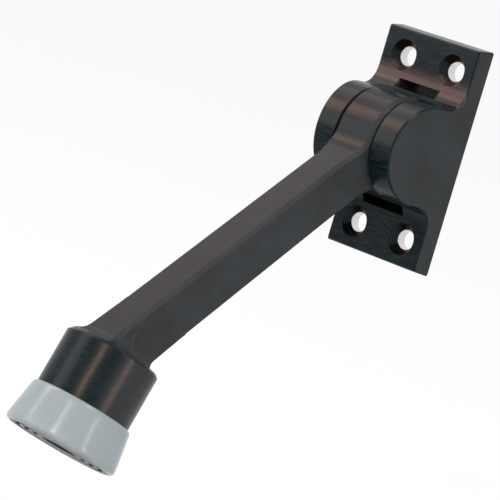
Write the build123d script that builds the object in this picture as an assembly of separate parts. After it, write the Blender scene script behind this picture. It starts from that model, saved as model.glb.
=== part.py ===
from build123d import *
from math import radians, sqrt, tan
import os

# Kick-down door holder for the foot of a door, in millimetres.
# The origin is the middle of the base's flat back, which goes against the door.
# +Y goes into the door, +Z is up, and the lever reaches out towards -Y.

# Base: a casting with a flat plate and a round nose, which a slot splits into two cheeks
base_height = 54.0
base_width = 28.5
plate_thickness = 4.75
nose_radius = 11.8
nose_out = 11.5
root_radius = 4.8
side_draft = 6.4
edge_bevel = 0.35

# Slot for the lever's hub, and the square recess behind it that shows as a window at each end
slot_width = 11.9
recess_width = 12.4
recess_half_height = 15.05
recess_front = 6.5
recess_floor = 1.2
bar_front = 8.2
back_relief_half_height = 5.0

# Screw holes: countersunk, one near each corner of the plate
screw_spacing_x = 14.7
screw_spacing_z = 40.7
screw_hole_radius = 2.33
screw_head_radius = 3.8
screw_head_sunk = 0.5
screw_cone_depth = 1.75

# Pivot and lever: hub, arm and cup in one casting, with the cup bent towards the door
pivot_out = 12.0
pivot_up = 0.5
pin_radius = 3.0
pin_running_gap = 0.04
pin_blind_depth = 4.5
pin_end_sunk = 0.3
pin_chamfer = 0.4
hub_radius = 11.7
hub_width = 10.6
hub_gap = 0.35
arm_angle = 51.0
arm_length = 89.3
arm_width = 8.9
arm_top_at_hub = 6.25
arm_top_at_cup = 6.9
arm_under_at_hub = 5.1
arm_under_at_cup = 5.8
arm_bevel = 0.8
arm_blend_top = 7.5
arm_blend_under = 4.0
arm_into_cup = 5.0
flare_start = 11.0
flare_end = 17.5
cup_bend = 30.0
cup_radius = 11.1
cup_length = 13.4
cup_edge_bevel = 0.6
socket_radius = 8.05
socket_depth = 8.0

# Root of the cup: the arm widens and sweeps out to the cup's top, with a scoop in each side
root_start = 12.0
root_splay = 0.4
root_blend = 3.4
root_blend_top = 4.5
root_blend_under = 2.2
root_trim_height = 1.9
scoop_wall = -4.2
scoop_corner = 5.0
scoop_blend = 3.0

# Rubber tip: a boot with a spigot in the cup's socket and rings in its sole
tip_top_radius = 11.9
tip_sole_radius = 13.4
tip_height = 10.2
tip_lip_bevel = 0.7
tip_sole_bevel = 0.7
spigot_radius = 8.0
spigot_length = 7.6
sole_ring_radii = (10.3, 8.15, 6.1)
sole_ring_width = 0.9
sole_ring_depth = 0.9
sole_hollow_radius = 4.2
sole_hollow_depth = 1.6

# Thrust washers beside the hub, and the ball detent in the hub's far side
washer_radius = 6.3
washer_hole_radius = 3.1
washer_thickness = 0.55
ball_radius = 1.75
ball_running_gap = 0.05
ball_from_pivot = 8.4
ball_bore_end = 1.6
dimple_depth = 0.5
dimple_radius = 1.8
spring_radius = 1.35
spring_wire = 0.32
spring_turns = 3
engaged_turn = -21.0
stowed_turn = 109.0

# Cutting shapes run this far past the metal, and points closer than this are the same point
cut_past = 5.0
same_place = 0.01

# How far the side faces lean in for each millimetre away from the door
draft_slope = tan(radians(side_draft))
cross_axis = Rotation(0, 90, 0)


def pivot_location():
    """The hinge axis's middle point."""
    return Location((0, -pivot_out, pivot_up))


def lever_location(turn=0.0):
    """From the lever's own frame, pivot at the origin and arm hanging down, to the part."""
    return pivot_location() * Rotation(-arm_angle - turn, 0, 0)


def cup_location():
    """The middle of the cup's top face in the lever's own frame, with -Z along the cup."""
    return Location((0, 0, -arm_length)) * Rotation(cup_bend, 0, 0)


def base_profile():
    """Side outline: a plate with drafted ends, the neck and round nose, and filleted roots."""
    back_end = base_height / 2
    front_end = back_end - draft_slope * plate_thickness
    plate = Polygon(
        (0, -back_end), (0, back_end), (-plate_thickness, front_end), (-plate_thickness, -front_end),
        align=None,
    )
    neck = Pos(-nose_out / 2, 0) * Rectangle(nose_out, 2 * nose_radius)
    nose = Pos(-nose_out, 0) * Circle(nose_radius)
    outline = plate + neck + nose
    front = outline.vertices().filter_by(lambda v: abs(v.X + plate_thickness) < same_place)
    roots = front.filter_by(lambda v: abs(v.Y) < front_end - same_place)
    return fillet(roots, root_radius)


def base_sides():
    """Plan outline: the side faces lean in, so the casting leaves its mould."""
    reach = nose_out + nose_radius + cut_past
    half = base_width / 2
    tip_half = half - draft_slope * reach
    plan = Polygon((-half, 0), (half, 0), (tip_half, -reach), (-tip_half, -reach), align=None)
    return extrude(plan, base_height, both=True)


def screw_hole():
    """One countersunk hole, along Y, with its mouth at the plate's front."""
    cone_start = plate_thickness - screw_head_sunk
    cone_end = cone_start - screw_cone_depth
    back = -cut_past
    mouth = plate_thickness + cut_past
    half = Polygon(
        (0, back), (screw_hole_radius, back), (screw_hole_radius, cone_end),
        (screw_head_radius, cone_start), (screw_head_radius, mouth), (0, mouth),
        align=None,
    )
    along_z = revolve(Plane.XZ * half, Axis.Z)
    return Rotation(90, 0, 0) * along_z


def detent_place(turn):
    """The ball's centre line on the far cheek when the lever is turned up by turn degrees."""
    return lever_location(turn) * Pos(0, 0, ball_from_pivot)


def make_base():
    body = extrude(Plane.YZ * base_profile(), base_width / 2, both=True) & base_sides()
    nose_half_width = base_width / 2 - draft_slope * (nose_out + nose_radius)
    plate_end = base_height / 2 - draft_slope * plate_thickness
    outer_edges = body.edges().filter_by(
        lambda e: abs(e.center().X) > nose_half_width - same_place and e.center().Y < -same_place
    )
    outer_edges += body.edges().filter_by(lambda e: abs(abs(e.center().Z) - plate_end) < same_place)
    body = chamfer(outer_edges, edge_bevel)

    # The recess behind the hub, the round pocket for the hub, and the open front of the slot
    recess_depth = recess_front - recess_floor
    recess = Pos(0, -(recess_front + recess_floor) / 2, 0) * Box(
        recess_width, recess_depth, 2 * recess_half_height
    )
    pocket = pivot_location() * cross_axis * Cylinder(hub_radius + hub_gap, slot_width)
    front_reach = nose_out + nose_radius + cut_past
    front = Pos(0, -(bar_front + front_reach) / 2, 0) * Box(
        slot_width, front_reach - bar_front, 2 * (nose_radius + root_radius)
    )
    relief = Pos(0, 0, pivot_up) * Box(slot_width, 2 * recess_front, 2 * back_relief_half_height)
    body = body - recess - pocket - front - relief

    for x in (-screw_spacing_x / 2, screw_spacing_x / 2):
        for z in (-screw_spacing_z / 2, screw_spacing_z / 2):
            body = body - Pos(x, 0, z) * screw_hole()

    # Pin hole: through the far cheek, blind in the near one
    pin_end = slot_width / 2 + pin_blind_depth
    pin_hole = pivot_location() * cross_axis * Cylinder(
        pin_radius, base_width / 2 + pin_end, align=(Align.CENTER, Align.CENTER, Align.MAX)
    )
    body = body - Pos(pin_end, 0, 0) * pin_hole

    dimple_x = -(slot_width / 2 + dimple_depth - dimple_radius)
    for turn in (engaged_turn, stowed_turn):
        body = body - detent_place(turn) * Pos(dimple_x, 0, 0) * Sphere(dimple_radius)
    return body


def hub_blend(offset, radius):
    """Where a concave arc joins the hub to an arm face: its start, middle and end points."""
    centre_x = offset + radius
    centre_y = -sqrt((hub_radius + radius) ** 2 - centre_x**2)
    centre = Vector(centre_x, centre_y)
    on_hub = centre * (hub_radius / (hub_radius + radius))
    on_arm = Vector(offset, centre_y)
    towards_corner = ((on_hub + on_arm) * 0.5 - centre).normalized()
    return on_hub, centre + towards_corner * radius, on_arm


def lever_side():
    """The hub and arm from the side, with the arm hanging down and the door on the right."""
    hub_end, blend_middle, arm_start = hub_blend(arm_under_at_hub, arm_blend_under)
    top_blend = hub_blend(arm_top_at_hub, arm_blend_top)
    top_start, top_middle, top_end = [Vector(-point.X, point.Y) for point in top_blend]
    arm_end = (-arm_top_at_cup, -arm_length - arm_into_cup)
    with BuildSketch() as side:
        with BuildLine():
            ThreePointArc(top_start, (0, hub_radius), hub_end)
            ThreePointArc(hub_end, blend_middle, arm_start)
            Polyline(arm_start, (arm_under_at_cup, -arm_length), arm_end, top_end)
            ThreePointArc(top_end, top_middle, top_start)
        make_face()
    return side.sketch


def lever_plan():
    """The hub and arm from the front: the hub's width sweeps in to the arm's."""
    hub_half = hub_width / 2
    arm_half = arm_width / 2
    top = hub_radius + cut_past
    end = -(arm_length + arm_into_cup + cut_past)
    with BuildSketch(Plane.XZ) as plan:
        with BuildLine():
            flare = Spline(
                (hub_half, -flare_start), (arm_half, -flare_end), tangents=((0, -1), (0, -1))
            )
            Polyline((0, end), (0, top), (hub_half, top), flare @ 0)
            Polyline(flare @ 1, (arm_half, end), (0, end))
        make_face()
        mirror(about=Plane.YZ)
    return plan.sketch


def root_side():
    """The arm's end from the side, with a slab for the cup's top and both corners blended."""
    cup_top = Pos(0, -arm_length) * Rot(0, 0, cup_bend)
    slab = Pos(0, -arm_into_cup / 2) * Rectangle(2 * cup_radius, arm_into_cup)
    outline = cup_top.inverse() * lever_side() + slab
    for side, radius in ((-1, root_blend_top), (1, root_blend_under)):
        corners = outline.vertices().filter_by(
            lambda v: abs(v.Y) < same_place and same_place < side * v.X < cup_radius - same_place
        )
        outline = fillet(corners.sort_by(lambda v: abs(v.X))[0], radius)
    root_height = root_start + arm_into_cup
    middle = Pos(0, root_start - root_height / 2) * Rectangle(4 * cup_radius, root_height)
    return cup_top * (outline & middle)


def root_edge(half_width):
    """All that lies left of an edge that comes down the arm and sweeps out to the cup's top."""
    reach = 2 * cup_radius
    outline = Polygon(
        (-reach, arm_length), (-reach, -reach), (reach, -reach), (reach, 0),
        (half_width + root_splay, 0), (half_width, root_start), (half_width, arm_length),
        align=None,
    )
    corner = outline.vertices().sort_by_distance((half_width + root_splay, 0, 0))[0]
    return fillet(corner, root_blend)


def make_root():
    """The arm's last stretch, which widens and sweeps out to the top of the cup."""
    reach = 2 * cup_radius
    root = extrude(Plane.YZ * root_side(), cup_radius, both=True)
    side_cut = cup_location() * extrude(Plane.XZ * root_edge(arm_width / 2), reach, both=True)
    cuts = [side_cut]

    # Each bevel is the edge of the arm's top or underside, swept inwards at 45 degrees
    for face_y, slant in ((-arm_top_at_cup, 1), (arm_under_at_cup, -1)):
        cup_top_z = -arm_length + face_y * tan(radians(cup_bend))
        face = Plane((0, face_y, cup_top_z), x_dir=(1, 0, 0), z_dir=(0, -1, 0))
        edge = face * root_edge(arm_width / 2 - arm_bevel)
        cuts.append(extrude(edge, reach, dir=Vector(slant, 1, 0).normalized(), both=True))
    for cut in cuts:
        root = root & cut & mirror(cut, about=Plane.YZ)

    # Nothing stands out past the cup, whose bevel runs on across the root
    ring = Polygon(
        (2 * reach, -reach), (2 * reach, root_trim_height),
        (cup_radius - cup_edge_bevel - root_trim_height, root_trim_height),
        (cup_radius, -cup_edge_bevel), (cup_radius, -reach),
        align=None,
    )
    root = root - cup_location() * revolve(Plane.XZ * ring, Axis.Z)

    hollow = Polygon((scoop_wall, 0), (reach, 0), (reach, reach), (scoop_wall, reach), align=None)
    corner = hollow.vertices().sort_by_distance((scoop_wall, 0, 0))[0]
    hollow = extrude(Plane.YZ.offset(arm_width / 2) * fillet(corner, scoop_corner), cup_radius)
    floor_edges = hollow.edges().filter_by(
        lambda e: e.center().X < arm_width / 2 + same_place
        and max(e.center().Y, e.center().Z) < reach - same_place
    )
    hollow = fillet(floor_edges, scoop_blend)
    return root - cup_location() * hollow - cup_location() * mirror(hollow, about=Plane.YZ)


def make_lever():
    """Hub, arm and bent cup, with the pin's bore, the ball's bore and the tip's socket."""
    side = extrude(Plane.YZ * lever_side(), hub_width / 2, both=True)
    body = side & extrude(lever_plan(), 2 * hub_radius, both=True)
    rims = body.edges().filter_by(lambda e: abs(e.center().X) > arm_width / 2 - same_place)
    rims = rims.filter_by(lambda e: e.center().Z > -arm_length)
    body = chamfer(rims, arm_bevel)

    cup = Cylinder(cup_radius, cup_length, align=(Align.CENTER, Align.CENTER, Align.MAX))
    cup = chamfer(cup.edges().sort_by(Axis.Z)[-1], cup_edge_bevel)
    body = body + make_root() + cup_location() * cup

    socket = Pos(0, 0, -cup_length - cut_past) * Cylinder(
        socket_radius, socket_depth + cut_past, align=(Align.CENTER, Align.CENTER, Align.MIN)
    )
    body = body - cup_location() * socket
    body = body - cross_axis * Cylinder(pin_radius + pin_running_gap, 2 * hub_width)
    ball_bore = cross_axis * Cylinder(
        ball_radius + ball_running_gap, hub_width + ball_bore_end,
        align=(Align.CENTER, Align.CENTER, Align.MAX),
    )
    body = body - Pos(ball_bore_end, 0, ball_from_pivot) * ball_bore
    return lever_location() * body


def make_pivot_pin():
    """A plain pin, pressed in from the far cheek until it bottoms in the near one."""
    inner_end = slot_width / 2 + pin_blind_depth
    outer_end = base_width / 2 - draft_slope * pivot_out - pin_end_sunk
    pin = cross_axis * Cylinder(
        pin_radius, inner_end + outer_end, align=(Align.CENTER, Align.CENTER, Align.MAX)
    )
    pin = chamfer(pin.edges().filter_by(GeomType.CIRCLE), pin_chamfer)
    return pivot_location() * Pos(inner_end, 0, 0) * pin


def make_thrust_washer(side):
    """A thin washer lying against one cheek: side is -1 for the far cheek, 1 for the near one."""
    ring = Circle(washer_radius) - Circle(washer_hole_radius)
    washer = extrude(Plane.YZ * ring, -side * washer_thickness)
    return pivot_location() * Pos(side * slot_width / 2, 0, 0) * washer


def ball_centre_x():
    """The ball runs just clear of the far cheek's flat inner face."""
    return -(slot_width / 2 - ball_running_gap - ball_radius)


def make_detent_ball():
    return detent_place(0) * Pos(ball_centre_x(), 0, 0) * Sphere(ball_radius)


def make_detent_spring():
    """A coil spring between the ball and the bottom of its bore, its wire drawn square."""
    start = ball_centre_x() + sqrt(ball_radius**2 - spring_radius**2) + spring_wire
    length = ball_bore_end - start - spring_wire / 2
    coil = Helix(length / spring_turns, length, spring_radius)
    section = Plane(origin=coil @ 0, z_dir=coil % 0) * Rectangle(spring_wire, spring_wire)
    spring = sweep(section, path=coil, is_frenet=True)
    return detent_place(0) * Pos(start, 0, 0) * cross_axis * spring


def make_rubber_tip():
    """A turned shape: spigot, flange with a bevelled lip, and a flared side down to the sole."""
    sole = -tip_height
    outline = Polygon(
        (0, spigot_length), (spigot_radius, spigot_length), (spigot_radius, 0),
        (tip_top_radius, 0), (tip_sole_radius, sole), (0, sole),
        align=None,
    )
    lip = outline.vertices().sort_by_distance((tip_top_radius, 0, 0))[0]
    outline = chamfer(lip, tip_lip_bevel)
    sole_edge = outline.vertices().sort_by_distance((tip_sole_radius, sole, 0))[0]
    outline = chamfer(sole_edge, tip_sole_bevel)
    for radius in sole_ring_radii:
        groove = Rectangle(sole_ring_width, 2 * sole_ring_depth)
        outline = outline - Pos(radius, sole) * groove
    hollow = Rectangle(2 * sole_hollow_radius, 2 * sole_hollow_depth)
    outline = outline - Pos(0, sole) * hollow
    tip = revolve(Plane.XZ * outline, Axis.Z)
    return lever_location() * cup_location() * Pos(0, 0, -cup_length) * tip


parts = {
    "base": make_base(),
    "lever": make_lever(),
    "pivot_pin": make_pivot_pin(),
    "left_thrust_washer": make_thrust_washer(-1),
    "right_thrust_washer": make_thrust_washer(1),
    "detent_ball": make_detent_ball(),
    "detent_spring": make_detent_spring(),
    "rubber_tip": make_rubber_tip(),
}

os.makedirs("parts", exist_ok=True)
for name, shape in parts.items():
    export_step(shape, f"parts/{name}.step")
    print(name, "valid" if shape.is_valid else "NOT VALID", round(shape.volume, 1))
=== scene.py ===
from math import cos, pi, radians, sin

import bmesh
import bpy
from mathutils import Matrix, Vector


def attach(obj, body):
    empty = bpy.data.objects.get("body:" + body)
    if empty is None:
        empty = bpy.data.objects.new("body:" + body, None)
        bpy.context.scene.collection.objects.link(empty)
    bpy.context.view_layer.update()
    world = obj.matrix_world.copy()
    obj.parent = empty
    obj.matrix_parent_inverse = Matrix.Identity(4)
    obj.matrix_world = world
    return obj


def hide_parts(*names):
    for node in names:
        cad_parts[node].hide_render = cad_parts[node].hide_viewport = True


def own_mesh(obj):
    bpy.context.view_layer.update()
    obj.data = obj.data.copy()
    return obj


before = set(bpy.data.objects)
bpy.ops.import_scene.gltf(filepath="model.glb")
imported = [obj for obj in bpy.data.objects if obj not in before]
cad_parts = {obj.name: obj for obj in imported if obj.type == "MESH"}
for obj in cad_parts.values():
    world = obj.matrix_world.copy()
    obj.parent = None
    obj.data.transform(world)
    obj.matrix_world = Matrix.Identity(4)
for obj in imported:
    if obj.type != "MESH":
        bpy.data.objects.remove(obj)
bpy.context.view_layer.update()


# The base is one brass casting: a flat plate with four countersunk screw holes and a round nose,
# slotted for the lever. It is brushed from side to side, oiled to a dark bronze and then drilled.
# Its flanks keep the casting's satin skin, and the lower part of the recess behind the hub is painted near-black as
# shade and made matt.
def new_finish(name):
    """A new finish, with its nodes, its links and its one shader."""
    finish = bpy.data.materials.new(name)
    finish.use_nodes = True
    tree = finish.node_tree
    return finish, tree.nodes, tree.links, tree.nodes["Principled BSDF"]


def fed(finish, socket, value):
    """A number or a colour is set on the socket, and the output of a node is linked to it."""
    if isinstance(value, (int, float)):
        socket.default_value = value
    elif isinstance(value, tuple):
        socket.default_value = (*value, 1.0)
    else:
        finish.node_tree.links.new(value, socket)


def own_place(finish):
    """The place on the piece, in metres from the piece's own middle."""
    return finish.node_tree.nodes.new("ShaderNodeTexCoord").outputs["Object"]


def parted(finish, vector):
    """The vector's X, Y and Z, each on its own."""
    apart = finish.node_tree.nodes.new("ShaderNodeSeparateXYZ")
    finish.node_tree.links.new(vector, apart.inputs["Vector"])
    return [apart.outputs[axis] for axis in "XYZ"]


def measured(finish, how, place, by=(0, 0, 0)):
    """The place moved or flattened by a vector, or its length, alone or along that vector."""
    rule = finish.node_tree.nodes.new("ShaderNodeVectorMath")
    rule.operation = how
    rule.inputs[1].default_value = by
    finish.node_tree.links.new(place, rule.inputs[0])
    return rule.outputs["Value" if how in ("LENGTH", "DOT_PRODUCT") else "Vector"]


def stretched_noise(finish, place, per_metre, detail, roughness=0.55):
    """Noise in the piece's own place, with so many marks to the metre along X, Y and Z."""
    tree = finish.node_tree
    squeeze = tree.nodes.new("ShaderNodeMapping")
    squeeze.inputs["Scale"].default_value = per_metre
    noise = tree.nodes.new("ShaderNodeTexNoise")
    noise.inputs["Scale"].default_value = 1.0
    noise.inputs["Detail"].default_value = detail
    noise.inputs["Roughness"].default_value = roughness
    tree.links.new(place, squeeze.inputs["Vector"])
    tree.links.new(squeeze.outputs["Vector"], noise.inputs["Vector"])
    return noise.outputs["Fac"]


def stepped(finish, value, low, high, to_low=0.0, to_high=1.0):
    """The value from low to high, turned smoothly into to_low to to_high."""
    step = finish.node_tree.nodes.new("ShaderNodeMapRange")
    step.interpolation_type = "SMOOTHSTEP"
    step.inputs["From Min"].default_value = low
    step.inputs["From Max"].default_value = high
    step.inputs["To Min"].default_value = to_low
    step.inputs["To Max"].default_value = to_high
    finish.node_tree.links.new(value, step.inputs["Value"])
    return step.outputs["Result"]


def reckoned(finish, how, first, second=0.0):
    maths = finish.node_tree.nodes.new("ShaderNodeMath")
    maths.operation = how
    fed(finish, maths.inputs[0], first)
    fed(finish, maths.inputs[1], second)
    return maths.outputs["Value"]


def times(finish, first, *others):
    """All the values multiplied, so that a mark shows only where each of them lets it."""
    for other in others:
        first = reckoned(finish, "MULTIPLY", first, other)
    return first


def below(finish, value, limit):
    return reckoned(finish, "LESS_THAN", value, limit)


def beyond(finish, value, limit):
    return reckoned(finish, "GREATER_THAN", value, limit)


def within(finish, value, low, high):
    """One where the value lies between low and high, and nothing elsewhere."""
    return times(finish, beyond(finish, value, low), below(finish, value, high))


def blended(finish, share, under, over, how="MIX"):
    """Two colours laid over each other, the upper one by its share."""
    mix = finish.node_tree.nodes.new("ShaderNodeMix")
    mix.data_type = "RGBA"
    mix.blend_type = how
    colours = [socket for socket in mix.inputs if socket.type == "RGBA"]
    fed(finish, mix.inputs["Factor"], share)
    fed(finish, colours[0], under)
    fed(finish, colours[1], over)
    return [socket for socket in mix.outputs if socket.type == "RGBA"][0]


def between(finish, share, under, over):
    """The same for two plain values, such as two roughnesses."""
    mix = finish.node_tree.nodes.new("ShaderNodeMix")
    for socket, value in (("Factor", share), ("A", under), ("B", over)):
        finish.node_tree.links.new(value, mix.inputs[socket])
    return mix.outputs["Result"]


def raised(finish, height, strength):
    """Fine relief on the finish's shader, 0.03 mm high at full strength."""
    tree = finish.node_tree
    bump = tree.nodes.new("ShaderNodeBump")
    bump.inputs["Strength"].default_value = strength
    bump.inputs["Distance"].default_value = 0.00003
    tree.links.new(height, bump.inputs["Height"])
    tree.links.new(bump.outputs["Normal"], tree.nodes["Principled BSDF"].inputs["Normal"])


def finish_node(node, finish):
    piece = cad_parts[node]
    piece.data.materials.clear()
    piece.data.materials.append(finish)
    return piece


def shaded_recess(finish, place):
    """The lower part of the recess behind the hub, which is painted near-black as shade."""
    across, through, up = parted(finish, place)
    return times(
        finish,
        within(finish, across, -0.00626, 0.00626),
        within(finish, through, -0.0066, -0.0008),
        within(finish, up, -0.0152, -0.0100),
    )


def oiled_bronze(name, streaking, cup=None):
    """Brushed and oiled bronze; a cup is given by its axis and by where along it the arm ends."""
    brushed_colour, satin_colour, painted_recess_black = (0.004, 0.010, 0.013), (0.0205, 0.0262, 0.0300), (0.002, 0.003, 0.002)
    finish, nodes, links, metal = new_finish(name)
    where = nodes.new("ShaderNodeTexCoord")
    place = where.outputs["Object"]

    # Faces that look to the side are flanks. On the arm its bevels are too, but the cup is brushed
    # all the way round, so there a flank has only the flanks' colour.
    sideways = reckoned(finish, "ABSOLUTE", parted(finish, where.outputs["Normal"])[0])
    flank = stepped(finish, sideways, 0.70, 0.95)
    satin = flank
    if cup:
        cup_axis, arm_narrows, arm_ends = cup
        along_cup = measured(finish, "DOT_PRODUCT", place, cup_axis)
        on_arm = stepped(finish, along_cup, arm_narrows, arm_ends, 1.0, 0.0)
        bevels = times(finish, stepped(finish, sideways, 0.45, 0.62), on_arm)
        flank = reckoned(finish, "MAXIMUM", flank, bevels)
        satin = times(finish, flank, on_arm)

    brushing = stretched_noise(finish, place, (210, 4200, 4200), 6, 0.68)
    clouds = stretched_noise(finish, place, (90, 130, 130), 3)
    grain = stretched_noise(finish, place, (2600, 2600, 2600), 2)

    streaks = stepped(finish, brushing, 0.36, 0.64, 1 - streaking, 1 + streaking)
    streaks = blended(finish, flank, streaks, (1.0, 1.0, 1.0))
    streaks = times(finish, streaks, stepped(finish, clouds, 0.3, 0.7, 0.86, 1.12))
    shade = blended(finish, flank, brushed_colour, satin_colour)
    shade = blended(finish, 1.0, shade, streaks, "MULTIPLY")
    # The lower part of the recess behind the hub is painted near-black: painted shade, made matt as well.
    recess_shade_mask = shaded_recess(finish, place)
    links.new(blended(finish, recess_shade_mask, shade, painted_recess_black), metal.inputs["Base Color"])

    brushed_gloss = stepped(finish, brushing, 0.3, 0.7, 0.18, 0.34)
    satin_gloss = stepped(finish, grain, 0.3, 0.7, 0.40, 0.46)
    gloss = between(finish, satin, brushed_gloss, satin_gloss)
    links.new(reckoned(finish, "MAXIMUM", gloss, recess_shade_mask), metal.inputs["Roughness"])
    metal.inputs["IOR"].default_value = 1.45
    metal.inputs["Specular IOR Level"].default_value = 0.13
    metal.inputs["Specular Tint"].default_value = (1.0, 0.80, 0.72, 1.0)
    raised(finish, between(finish, satin, brushing, grain), 0.35)
    return finish


base_bronze = oiled_bronze("oiled_bronze_base", streaking=0.68)
base_metal = base_bronze.node_tree.nodes["Principled BSDF"]
oiled = base_metal.inputs["Base Color"].links[0].from_socket
across, through, up = parted(base_bronze, own_place(base_bronze))

# Above the upper window the oil is rubbed thin from side to side, and brown shows through it;
# the band is partly that wear and partly a painted highlight of the warm key lamp.
front_half_width, front_face = 0.0141, -0.0046
rubbed_band_and_highlight = times(
    base_bronze,
    stepped(base_bronze, up, 0.0125, 0.0155),
    stepped(base_bronze, up, 0.0160, 0.0190, 1.0, 0.0),
    within(base_bronze, across, -front_half_width, front_half_width),
    below(base_bronze, through, front_face),
)
oiled = blended(base_bronze, rubbed_band_and_highlight, oiled, (0.052, 0.031, 0.026), "ADD")

# Each screw hole is a cone with the drill's rings in it, one every 0.37 mm, and a short bore of
# bare, bright metal. The upper cones get a painted brown highlight on the side of the rubbed band.
hole_across, hole_up = 0.00735, 0.02035
bore_radius, cone_radius, cone_floor = 0.00239, 0.00388, -0.0022
aside = reckoned(base_bronze, "SUBTRACT", reckoned(base_bronze, "ABSOLUTE", across), hole_across)
above = reckoned(base_bronze, "SUBTRACT", reckoned(base_bronze, "ABSOLUTE", up), hole_up)
from_hole = reckoned(base_bronze, "ADD", times(base_bronze, aside, aside), times(base_bronze, above, above))
from_hole = reckoned(base_bronze, "SQRT", from_hole)
bore = below(base_bronze, from_hole, bore_radius)
cone = within(base_bronze, from_hole, bore_radius, cone_radius)
cone = times(base_bronze, cone, below(base_bronze, through, cone_floor))
drill_rings = reckoned(base_bronze, "SINE", times(base_bronze, from_hole, 17000.0))
drill_rings = stepped(base_bronze, drill_rings, -1, 1)
drilled = blended(base_bronze, drill_rings, (0.006, 0.008, 0.010), (0.024, 0.027, 0.029))
# Painted highlight: warm brown added to the lower side of the upper cones.
upper_cone_highlight = stepped(base_bronze, up, 0.0172, 0.0190, 1.0, 0.0)
upper_cone_highlight = times(base_bronze, upper_cone_highlight, beyond(base_bronze, up, 0.0))
drilled = blended(base_bronze, upper_cone_highlight, drilled, (0.075, 0.048, 0.040), "ADD")
oiled = blended(base_bronze, cone, oiled, drilled)
oiled = blended(base_bronze, bore, oiled, (0.70, 0.72, 0.74))
bared = reckoned(base_bronze, "MAXIMUM", bore, times(base_bronze, cone, 0.8))
fed(base_bronze, base_metal.inputs["Base Color"], oiled)
fed(base_bronze, base_metal.inputs["Metallic"], bared)
finish_node("base", base_bronze)


# The pivot pin is plain turned steel, pressed in from the far cheek until its end lies just
# below the surface. It is blackened, with the fine rings that the lathe left on its end.
def out_from(finish, place, middle, square):
    """The distance from an axis through the middle; square is 1 in the directions square to it."""
    shifted = measured(finish, "SUBTRACT", place, middle)
    return measured(finish, "LENGTH", measured(finish, "MULTIPLY", shifted, square))


hinge_place = (0, -0.012, 0.0005)
blackened_steel, nodes, links, steel = new_finish("blackened_steel_pin")
from_hinge = out_from(blackened_steel, own_place(blackened_steel), hinge_place, (0, 1, 1))
lathe_rings = reckoned(blackened_steel, "SINE", times(blackened_steel, from_hinge, 26000.0))
pin_shade = stepped(blackened_steel, lathe_rings, -1, 1)
pin_shade = blended(blackened_steel, pin_shade, (0.05, 0.046, 0.044), (0.085, 0.078, 0.074))
links.new(pin_shade, steel.inputs["Base Color"])
links.new(stepped(blackened_steel, lathe_rings, -1, 1, 0.3, 0.42), steel.inputs["Roughness"])
steel.inputs["Metallic"].default_value = 1.0
finish_node("pivot_pin", blackened_steel)


# Two thin brass washers keep the hub off the cheeks. They are blanked from sheet and left bare,
# so they have dulled a little, with a film of oil.
def mottled_metal(name, per_metre, detail, dull, clean, glossiest, mattest):
    """Bare metal whose colour and gloss vary with one noise, from dull to clean."""
    finish, nodes, links, metal = new_finish(name)
    mottle = stretched_noise(finish, own_place(finish), per_metre, detail)
    links.new(blended(finish, mottle, dull, clean), metal.inputs["Base Color"])
    links.new(stepped(finish, mottle, 0.3, 0.7, glossiest, mattest), metal.inputs["Roughness"])
    metal.inputs["Metallic"].default_value = 1.0
    return finish


washer_brass = mottled_metal("washer_brass", (700, 700, 700), 4, (0.30, 0.20, 0.08), (0.50, 0.36, 0.17), 0.3, 0.5)
finish_node("left_thrust_washer", washer_brass)
finish_node("right_thrust_washer", washer_brass)


# The lever is a second brass casting: hub, flat-sided arm and bent cup in one. It swings on the
# pin between the cheeks, and it has the same brushed and oiled finish as the base.
arm_turn, cup_bend = radians(-51.0), radians(30.0)
cup_turn = arm_turn + cup_bend
cup_axis = (0, sin(cup_turn), -cos(cup_turn))
arm_narrows, arm_ends = 0.0808, 0.0820
lever_bronze = oiled_bronze("oiled_bronze_lever", streaking=0.34, cup=(cup_axis, arm_narrows, arm_ends))
finish_node("lever", lever_bronze)


# A steel ball and a small coil spring sit in a cross hole in the hub. The ball is ground and
# polished, the spring is drawn wire with a bluish sheen, and both are wiped with oil.
ball_steel = mottled_metal(
    "polished_ball_steel", (2500, 2500, 2500), 3, (0.55, 0.55, 0.56), (0.68, 0.68, 0.69), 0.08, 0.2,
)
finish_node("detent_ball", ball_steel)

spring_wire = mottled_metal(
    "drawn_spring_wire", (5000, 900, 900), 3, (0.30, 0.31, 0.34), (0.45, 0.46, 0.49), 0.22, 0.38,
)
spring = finish_node("detent_spring", spring_wire)
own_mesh(spring)


# The tip is a pale grey rubber moulding. Its spigot plugs the cup, its flared side ends in a soft
# lip at the top and a rounded edge at the sole, and rings in the sole grip the floor. Their dirt is
# darkened further with painted shade.
mm = 0.001
spigot = [(0.0, 7.6), (7.0, 7.6), (7.6, 7.45), (7.95, 7.0), (8.0, 6.2), (8.0, 1.0), (8.0, 0.12), (8.2, 0.0)]
lip = [(9.5, 0.0), (11.0, 0.0), (11.45, -0.06), (11.78, -0.32), (11.95, -0.8), (12.08, -1.7)]
flared_side = [(12.7, -5.6), (13.15, -8.4), (13.25, -9.2), (13.1, -9.8), (12.65, -10.13), (12.0, -10.2)]
half_groove = [(0.62, -10.2), (0.47, -10.12), (0.38, -9.6), (0.22, -9.32)]
dish = [(4.4, -10.2), (4.22, -10.1), (4.1, -9.3), (3.9, -8.75), (3.4, -8.6), (1.8, -8.6), (0.0, -8.6)]

tip_outline = spigot + lip + flared_side
for groove_radius in (10.3, 8.15, 6.1):
    tip_outline += [(groove_radius + half, height) for half, height in half_groove]
    tip_outline += [(groove_radius - half, height) for half, height in reversed(half_groove)]
tip_outline += dish

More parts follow.
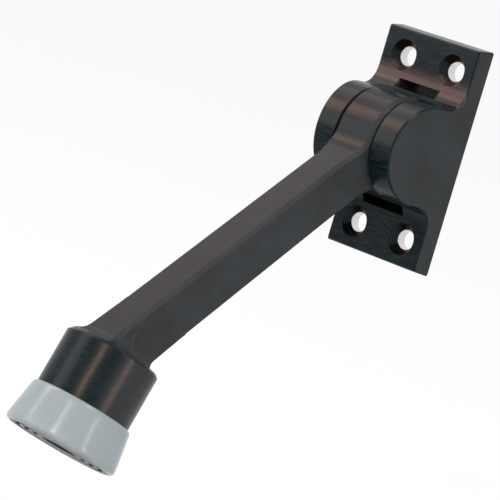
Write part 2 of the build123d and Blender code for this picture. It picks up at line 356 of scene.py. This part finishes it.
turned = bmesh.new()
corners = [turned.verts.new((radius * mm, 0, height * mm)) for radius, height in tip_outline]
walls = [turned.edges.new(pair) for pair in zip(corners, corners[1:])]
bmesh.ops.spin(turned, geom=corners + walls, axis=(0, 0, 1), cent=(0, 0, 0), angle=2 * pi, steps=64)
bmesh.ops.remove_doubles(turned, verts=turned.verts, dist=0.00002)
bmesh.ops.recalc_face_normals(turned, faces=turned.faces)
for face in turned.faces:
    face.smooth = True
tip_mesh = bpy.data.meshes.new("rubber_tip_moulding")
turned.to_mesh(tip_mesh)
tip = bpy.data.objects.new("rubber_tip_moulding", tip_mesh)
bpy.context.scene.collection.objects.link(tip)
tip.modifiers.new("soft edges", "SUBSURF").render_levels = 1

hinge_to_bend, bend_to_tip = 0.0893, 0.0134
arm = Matrix.Translation(hinge_place) @ Matrix.Rotation(arm_turn, 4, "X")
cup = Matrix.Translation((0, 0, -hinge_to_bend)) @ Matrix.Rotation(cup_bend, 4, "X")
tip.matrix_world = arm @ cup @ Matrix.Translation((0, 0, -bend_to_tip))

grey_rubber, nodes, links, rubber = new_finish("pale_grey_rubber")
place = own_place(grey_rubber)
up = parted(grey_rubber, place)[2]
from_middle = out_from(grey_rubber, place, (0, 0, 0), (1, 1, 0))
clouds = stretched_noise(grey_rubber, place, (160, 160, 160), 4)
drag_lines = stretched_noise(grey_rubber, place, (2600, 2600, 90), 3)
skin = stretched_noise(grey_rubber, place, (2200, 2200, 2200), 3)
scuffs = stretched_noise(grey_rubber, place, (240, 240, 240), 4)

colour = blended(grey_rubber, clouds, (0.195, 0.240, 0.258), (0.238, 0.288, 0.308))
dragged = times(grey_rubber, stepped(grey_rubber, drag_lines, 0.5, 0.75), 0.18)
colour = blended(grey_rubber, dragged, colour, (0.32, 0.37, 0.39))

# Brown-black dirt, deepened with painted shade, fills the grooves and the dish. The face of the sole is
# scuffed and darkened with painted shade, and inside the tip's rounded edge it is matt.
groove_dirt_and_shade = times(
    grey_rubber,
    stepped(grey_rubber, from_middle, 0.0112, 0.0120, 1.0, 0.0),
    stepped(grey_rubber, up, -0.0102, -0.0100),
    stepped(grey_rubber, up, -0.0075, -0.0085),
    0.97,
)
colour = blended(grey_rubber, groove_dirt_and_shade, colour, (0.012, 0.008, 0.005))
# The sole's face is darkened by scuffs and, all over, by painted shade.
sole_scuffs_and_shade = times(
    grey_rubber,
    stepped(grey_rubber, up, -0.0097, -0.0101),
    stepped(grey_rubber, scuffs, 0.42, 0.62, 0.15, 0.45),
)
colour = blended(grey_rubber, sole_scuffs_and_shade, colour, (0.11, 0.10, 0.088))
links.new(colour, rubber.inputs["Base Color"])

side_gloss = stepped(grey_rubber, drag_lines, 0.3, 0.7, 0.12, 0.26)
sole_matt = times(
    grey_rubber,
    stepped(grey_rubber, from_middle, 0.0118, 0.0126, 0.75, 0.0),
    stepped(grey_rubber, up, -0.0088, -0.0093),
)
links.new(reckoned(grey_rubber, "MAXIMUM", side_gloss, sole_matt), rubber.inputs["Roughness"])
rubber.inputs["Specular IOR Level"].default_value = 0.24
rubber.inputs["Specular Tint"].default_value = (0.62, 0.84, 1.0, 1.0)
rubber.inputs["Subsurface Weight"].default_value = 0.08
rubber.inputs["Subsurface Radius"].default_value = (0.0012, 0.0011, 0.001)
raised(grey_rubber, reckoned(grey_rubber, "ADD", drag_lines, skin), 0.25)
tip_mesh.materials.append(grey_rubber)

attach(tip, "lever_body")
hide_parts("rubber_tip")


# The studio is a pale floor where the engaged tip stands, and a white surround. Warm soft boxes
# above on the left and a plain one on the right light the metal, two tall warm strips draw the
# brown streaks down the cup, and a wide cool box on the left fills the shadows. The lens is long.
def looked_at(finish):
    """One for what the camera sees, also in gloss and through glass, and nothing for the lighting."""
    ray = finish.node_tree.nodes.new("ShaderNodeLightPath")
    seen = reckoned(finish, "MAXIMUM", ray.outputs["Is Camera Ray"], ray.outputs["Is Glossy Ray"])
    return reckoned(finish, "MAXIMUM", seen, ray.outputs["Is Transmission Ray"])


pale_floor, nodes, links, paint = new_finish("pale_floor")
floor_clouds = stretched_noise(pale_floor, own_place(pale_floor), (3, 3, 3), 2)
links.new(blended(pale_floor, floor_clouds, (0.88, 0.88, 0.88), (0.92, 0.92, 0.92)), paint.inputs["Base Color"])
paint.inputs["Roughness"].default_value = 0.8
glow = nodes.new("ShaderNodeEmission")
glow.inputs["Color"].default_value = (1, 1, 1, 1)
glow.inputs["Strength"].default_value = 1.0
share = nodes.new("ShaderNodeMixShader")
links.new(times(pale_floor, looked_at(pale_floor), 0.9), share.inputs["Fac"])
links.new(paint.outputs["BSDF"], share.inputs[1])
links.new(glow.outputs["Emission"], share.inputs[2])
links.new(share.outputs["Shader"], nodes["Material Output"].inputs["Surface"])

half, level = 15.0, -0.1005
floor_corners = [(-half, -half, level), (half, -half, level), (half, half, level), (-half, half, level)]
floor_mesh = bpy.data.meshes.new("floor")
floor_mesh.from_pydata(floor_corners, [], [(0, 1, 2, 3)])
floor_mesh.materials.append(pale_floor)
floor = bpy.data.objects.new("floor", floor_mesh)
bpy.context.scene.collection.objects.link(floor)

surround = bpy.data.worlds.new("white_surround")
bpy.context.scene.world = surround
surround.use_nodes = True
surround_colour = blended(surround, looked_at(surround), (0.42, 0.45, 0.48), (1.0, 1.0, 1.0))
surround.node_tree.links.new(surround_colour, surround.node_tree.nodes["Background"].inputs["Color"])


def soft_lamp(name, direction, distance, width, height, brightness, colour):
    """An area lamp turned to the object; brightness is how bright it looks against white."""
    lamp = bpy.data.lights.new(name, "AREA")
    lamp.shape = "RECTANGLE"
    lamp.size, lamp.size_y = width, height
    lamp.energy = brightness * pi * width * height
    lamp.color = colour
    stand = bpy.data.objects.new(name, lamp)
    bpy.context.scene.collection.objects.link(stand)
    object_middle = Vector((0, -0.045, -0.03))
    out = Vector(direction).normalized()
    stand.location = object_middle + out * distance
    stand.rotation_euler = out.to_track_quat("Z", "Y").to_euler()
    stand.visible_camera = False


soft_lamp("key_soft_box", (-0.62, -0.44, 0.65), 1.1, 0.32, 0.50, 10.5, (1.0, 0.73, 0.64))
soft_lamp("top_soft_box", (-0.63, 0.06, 0.77), 1.1, 0.50, 0.40, 2.7, (1.0, 0.79, 0.76))
soft_lamp("top_right_box", (0.6, -0.08, 0.79), 1.1, 0.30, 0.30, 14.0, (1.0, 1.0, 1.0))
soft_lamp("front_strip", (0.31, -0.84, 0.43), 1.2, 0.15, 0.60, 28.0, (1.0, 0.78, 0.66))
soft_lamp("right_strip", (0.98, -0.04, 0.12), 1.2, 0.13, 0.60, 24.0, (1.0, 0.80, 0.70))
soft_lamp("left_fill", (-0.55, -0.78, 0.25), 1.2, 0.56, 0.50, 4.9, (0.90, 0.97, 1.0))

camera = bpy.data.cameras.new("camera")
camera.lens = 204.2
camera.sensor_width = 36.0
camera.clip_start, camera.clip_end = 0.01, 100.0
tripod = bpy.data.objects.new("camera", camera)
bpy.context.scene.collection.objects.link(tripod)
tripod.location = (0.40198, -0.52917, 0.04564)
tripod.rotation_euler = (radians(82.893), radians(-16.259), radians(41.826))
bpy.context.scene.camera = tripod

bpy.context.scene.view_settings.view_transform = "Standard"
